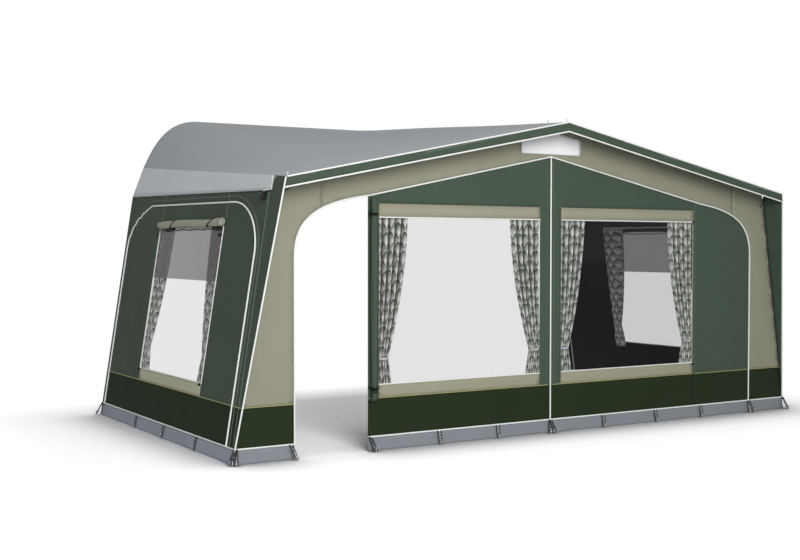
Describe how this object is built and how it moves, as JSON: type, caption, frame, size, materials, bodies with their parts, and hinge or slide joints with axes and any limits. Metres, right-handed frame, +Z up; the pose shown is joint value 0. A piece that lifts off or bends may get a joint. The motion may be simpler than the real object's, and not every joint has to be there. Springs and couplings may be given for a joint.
{
  "type": "caravan awning",
  "caption": "Full caravan awning: cloth roof, zipped walls with windows, doors and curtains, on a telescopic steel pole frame.",
  "frame": {"origin": "middle of the footprint on the ground", "axes": "+X along the front wall, +Y back to the mounting plane, +Z up"},
  "size_m": [5.2518, 3.013, 2.5195],
  "materials": {
    "roof_cloth": "matt coated cloth",
    "green_cloth": "matt woven cloth",
    "beige_cloth": "matt woven cloth",
    "mud_wall_cloth": "smooth coated cloth",
    "vent_cloth": "matt coated cloth",
    "window_film": "clear film",
    "curtain_cloth": "printed cotton",
    "pole_steel": "plated tube",
    "clamp_plastic": "moulded",
    "foot_rubber": "matt rubber",
    "bead_cord": "smooth cord"
  },
  "bodies": {
    "awning_shell": {"roof_sheet": "roof_cloth", "canopy_valance": "green_cloth", "storm_wing_left": "green_cloth", "storm_wing_right": "green_cloth", "gable_band": "beige_cloth", "pillar_left": "beige_cloth", "pillar_right": "beige_cloth", "vent_cover": "vent_cloth", "side_wall_left": "green_cloth", "side_wall_right": "green_cloth", "mud_wall_side_left": "mud_wall_cloth", "mud_wall_side_right": "mud_wall_cloth", "mud_wall_corner_left": "mud_wall_cloth", "mud_wall_front_left": "mud_wall_cloth", "mud_wall_front_right": "mud_wall_cloth", "rail_bead": "bead_cord", "ridge_pole_front": "pole_steel", "side_roof_pole_left_front": "pole_steel", "side_roof_pole_right_front": "pole_steel", "gable_rafter_left": "pole_steel", "gable_rafter_right": "pole_steel", "centre_leg_upper": "pole_steel", "corner_leg_left_upper": "pole_steel", "corner_leg_right_upper": "pole_steel"},
    "front_panel_left": {"front_panel_left": "green_cloth", "window_film_front_left": "window_film", "door_roll_left": "green_cloth"},
    "front_panel_right": {"front_panel_right": "green_cloth", "window_film_front_right": "window_film"},
    "front_door_right": {"front_door_right": "green_cloth"},
    "side_door_left": {"side_door_left": "green_cloth", "window_film_side_left": "window_film", "blind_roll_left": "beige_cloth"},
    "side_door_right": {"side_door_right": "green_cloth", "window_film_side_right": "window_film", "blind_roll_right": "beige_cloth"},
    "curtain_front_left_outer": {"curtain_front_left_outer": "curtain_cloth"},
    "curtain_front_left_inner": {"curtain_front_left_inner": "curtain_cloth"},
    "curtain_front_right_inner": {"curtain_front_right_inner": "curtain_cloth"},
    "curtain_front_right_outer": {"curtain_front_right_outer": "curtain_cloth"},
    "curtain_side_left_front": {"curtain_side_left_front": "curtain_cloth"},
    "curtain_side_left_rear": {"curtain_side_left_rear": "curtain_cloth"},
    "curtain_side_right_front": {"curtain_side_right_front": "curtain_cloth"},
    "curtain_side_right_rear": {"curtain_side_right_rear": "curtain_cloth"},
    "ridge_pole_rear": {"ridge_pole_rear": "pole_steel", "ridge_pole_pad": "foot_rubber"},
    "side_roof_pole_left_rear": {"side_roof_pole_left_rear": "pole_steel", "side_roof_pole_left_pad": "foot_rubber"},
    "side_roof_pole_right_rear": {"side_roof_pole_right_rear": "pole_steel", "side_roof_pole_right_pad": "foot_rubber"},
    "centre_leg_lower": {"centre_leg_lower": "pole_steel"},
    "corner_leg_left_lower": {"corner_leg_left_lower": "pole_steel"},
    "corner_leg_right_lower": {"corner_leg_right_lower": "pole_steel"},
    "ridge_pole_knob": {"ridge_pole_knob": "clamp_plastic"},
    "side_roof_pole_left_knob": {"side_roof_pole_left_knob": "clamp_plastic"},
    "side_roof_pole_right_knob": {"side_roof_pole_right_knob": "clamp_plastic"},
    "centre_leg_knob": {"centre_leg_knob": "clamp_plastic"},
    "corner_leg_left_knob": {"corner_leg_left_knob": "clamp_plastic"},
    "corner_leg_right_knob": {"corner_leg_right_knob": "clamp_plastic"}
  },
  "joints": [
    {"name": "front_panel_left_swing", "type": "hinge", "parent": "awning_shell", "child": "front_panel_left", "pos_m": [0, -1.2935, 1], "axis": [0, 0, 1], "range_deg": [0, 75]},
    {"name": "front_panel_right_swing", "type": "hinge", "parent": "awning_shell", "child": "front_panel_right", "pos_m": [0, -1.2935, 1], "axis": [0, 0, -1], "range_deg": [0, 75]},
    {"name": "front_door_right_swing", "type": "hinge", "parent": "front_panel_right", "child": "front_door_right", "pos_m": [1.52, -1.2935, 1], "axis": [0, 0, -1], "range_deg": [0, 90]},
    {"name": "side_door_left_swing", "type": "hinge", "parent": "awning_shell", "child": "side_door_left", "pos_m": [-2.58114, 1.43714, 0], "axis": [-0.1563, 0.0026, -0.9877], "range_deg": [0, 90]},
    {"name": "side_door_right_swing", "type": "hinge", "parent": "awning_shell", "child": "side_door_right", "pos_m": [2.58114, 1.43714, 0], "axis": [-0.1563, -0.0026, 0.9877], "range_deg": [0, 90]},
    {"name": "curtain_front_left_outer_draw", "type": "slide", "parent": "front_panel_left", "child": "curtain_front_left_outer", "axis": [1, 0, 0], "range_m": [0, 0.44]},
    {"name": "curtain_front_left_inner_draw", "type": "slide", "parent": "front_panel_left", "child": "curtain_front_left_inner", "axis": [-1, 0, 0], "range_m": [0, 0.44]},
    {"name": "curtain_front_right_inner_draw", "type": "slide", "parent": "front_panel_right", "child": "curtain_front_right_inner", "axis": [1, 0, 0], "range_m": [0, 0.43]},
    {"name": "curtain_front_right_outer_draw", "type": "slide", "parent": "front_panel_right", "child": "curtain_front_right_outer", "axis": [-1, 0, 0], "range_m": [0, 0.43]},
    {"name": "curtain_side_left_front_draw", "type": "slide", "parent": "side_door_left", "child": "curtain_side_left_front", "axis": [0.0164, 0.9999, 0], "range_m": [0, 0.34]},
    {"name": "curtain_side_left_rear_draw", "type": "slide", "parent": "side_door_left", "child": "curtain_side_left_rear", "axis": [-0.0164, -0.9999, 0], "range_m": [0, 0.34]},
    {"name": "curtain_side_right_front_draw", "type": "slide", "parent": "side_door_right", "child": "curtain_side_right_front", "axis": [-0.0164, 0.9999, 0], "range_m": [0, 0.34]},
    {"name": "curtain_side_right_rear_draw", "type": "slide", "parent": "side_door_right", "child": "curtain_side_right_rear", "axis": [0.0164, -0.9999, 0], "range_m": [0, 0.34]},
    {"name": "centre_leg_height", "type": "slide", "parent": "awning_shell", "child": "centre_leg_lower", "axis": [0, 0, 1], "range_m": [0, 0.35]},
    {"name": "corner_leg_left_height", "type": "slide", "parent": "awning_shell", "child": "corner_leg_left_lower", "axis": [0.1564, 0, 0.9877], "range_m": [0, 0.35]},
    {"name": "corner_leg_right_height", "type": "slide", "parent": "awning_shell", "child": "corner_leg_right_lower", "axis": [-0.1564, 0, 0.9877], "range_m": [0, 0.35]},
    {"name": "ridge_pole_reach", "type": "slide", "parent": "awning_shell", "child": "ridge_pole_rear", "axis": [0, -0.9983, -0.0588], "range_m": [0, 0.35]},
    {"name": "side_roof_pole_left_reach", "type": "slide", "parent": "awning_shell", "child": "side_roof_pole_left_rear", "axis": [-0.0489, -0.9961, -0.0736], "range_m": [0, 0.35]},
    {"name": "side_roof_pole_right_reach", "type": "slide", "parent": "awning_shell", "child": "side_roof_pole_right_rear", "axis": [0.0489, -0.9961, -0.0736], "range_m": [0, 0.35]},
    {"name": "centre_leg_clamp", "type": "hinge", "parent": "awning_shell", "child": "centre_leg_knob", "pos_m": [0, -1.2545, 1.17], "axis": [0, 1, 0], "range_deg": [0, 270]},
    {"name": "corner_leg_left_clamp", "type": "hinge", "parent": "awning_shell", "child": "corner_leg_left_knob", "pos_m": [-2.43233, -1.2545, 0.96975], "axis": [0, 1, 0], "range_deg": [0, 270]},
    {"name": "corner_leg_right_clamp", "type": "hinge", "parent": "awning_shell", "child": "corner_leg_right_knob", "pos_m": [2.43233, -1.2545, 0.96975], "axis": [0, 1, 0], "range_deg": [0, 270]},
    {"name": "ridge_pole_clamp", "type": "hinge", "parent": "awning_shell", "child": "ridge_pole_knob", "pos_m": [0, 0.18653, 2.42263], "axis": [0, 0.0588, -0.9983], "range_deg": [0, 270]},
    {"name": "side_roof_pole_left_clamp", "type": "hinge", "parent": "awning_shell", "child": "side_roof_pole_left_knob", "pos_m": [-2.23796, 0.18658, 1.97824], "axis": [0.0036, 0.0736, -0.9973], "range_deg": [0, 270]},
    {"name": "side_roof_pole_right_clamp", "type": "hinge", "parent": "awning_shell", "child": "side_roof_pole_right_knob", "pos_m": [2.23796, 0.18658, 1.97824], "axis": [-0.0036, 0.0736, -0.9973], "range_deg": [0, 270]}
  ]
}
